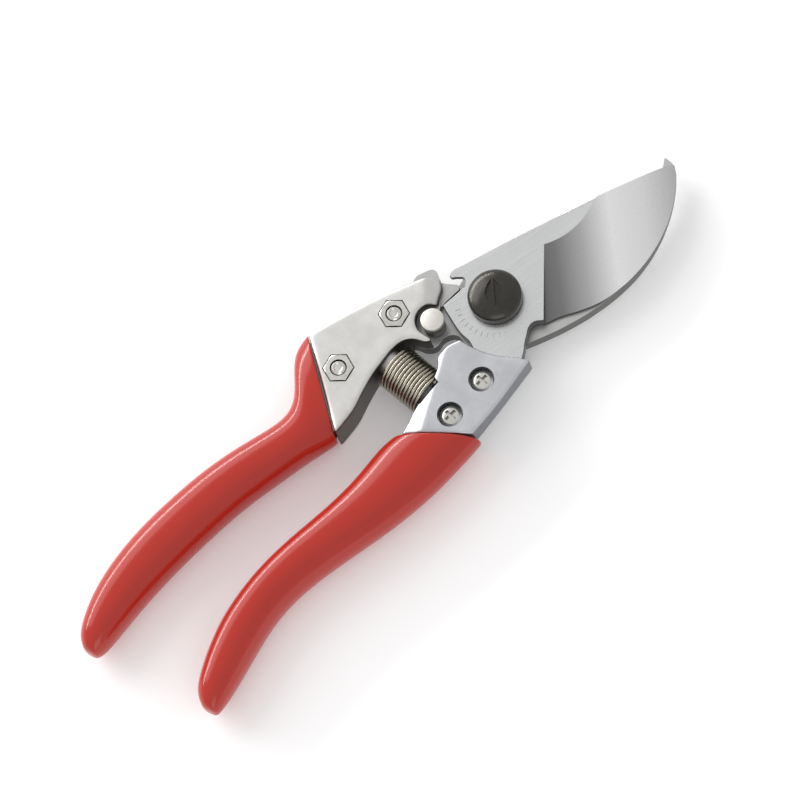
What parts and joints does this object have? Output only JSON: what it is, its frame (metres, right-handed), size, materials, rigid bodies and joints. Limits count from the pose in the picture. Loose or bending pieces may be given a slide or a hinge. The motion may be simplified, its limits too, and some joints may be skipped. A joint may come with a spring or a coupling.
{
  "type": "pruning shears",
  "caption": "Bypass pruning shears with cast handles in soft red grips, a domed pivot, a compression spring and a thumb catch, shown closed.",
  "frame": {"origin": "on the pivot axis, at the plane that the shears rest on when they lie on their back", "axes": "+X from the pivot towards the blade tips, +Y towards the handle that holds the hook, +Z along the pivot axis, out of the front face"},
  "size_m": [0.2029, 0.0569, 0.0159],
  "materials": {
    "steel": "satin ground",
    "cast_aluminium": "bead blasted",
    "grey_casting": "smooth satin",
    "red_vinyl": "glossy moulded vinyl",
    "zinc": "bright zinc plate",
    "black_cap": "glossy gunmetal",
    "spring_steel": "dark drawn wire",
    "pin_plate": "matte plated"
  },
  "bodies": {
    "hook_half": {"hook": "steel", "hook_handle": "cast_aluminium", "hook_grip": "red_vinyl", "hook_bolt_1": "zinc", "hook_bolt_2": "zinc", "hook_nut_1": "zinc", "hook_nut_2": "zinc", "pivot_bolt": "zinc", "pivot_cap": "black_cap", "pivot_washer": "zinc", "pivot_nut": "zinc", "main_spring": "spring_steel", "catch_spring": "spring_steel", "catch_pin": "pin_plate"},
    "blade_half": {"blade": "steel", "blade_handle": "grey_casting", "blade_grip": "red_vinyl", "blade_screw_1": "zinc", "blade_screw_2": "zinc", "blade_nut_1": "zinc", "blade_nut_2": "zinc"},
    "catch": {"catch_lever": "steel"}
  },
  "joints": [
    {"name": "blade_pivot", "type": "hinge", "parent": "hook_half", "child": "blade_half", "pos_m": [0, 0, 0], "axis": [0, 0, 1], "range_deg": [0, 36], "deforming": ["main_spring"]},
    {"name": "catch_swing", "type": "hinge", "parent": "hook_half", "child": "catch", "pos_m": [-0.016, 0.0077, 0], "axis": [0, 0, 1], "range_deg": [0, 18]}
  ]
}
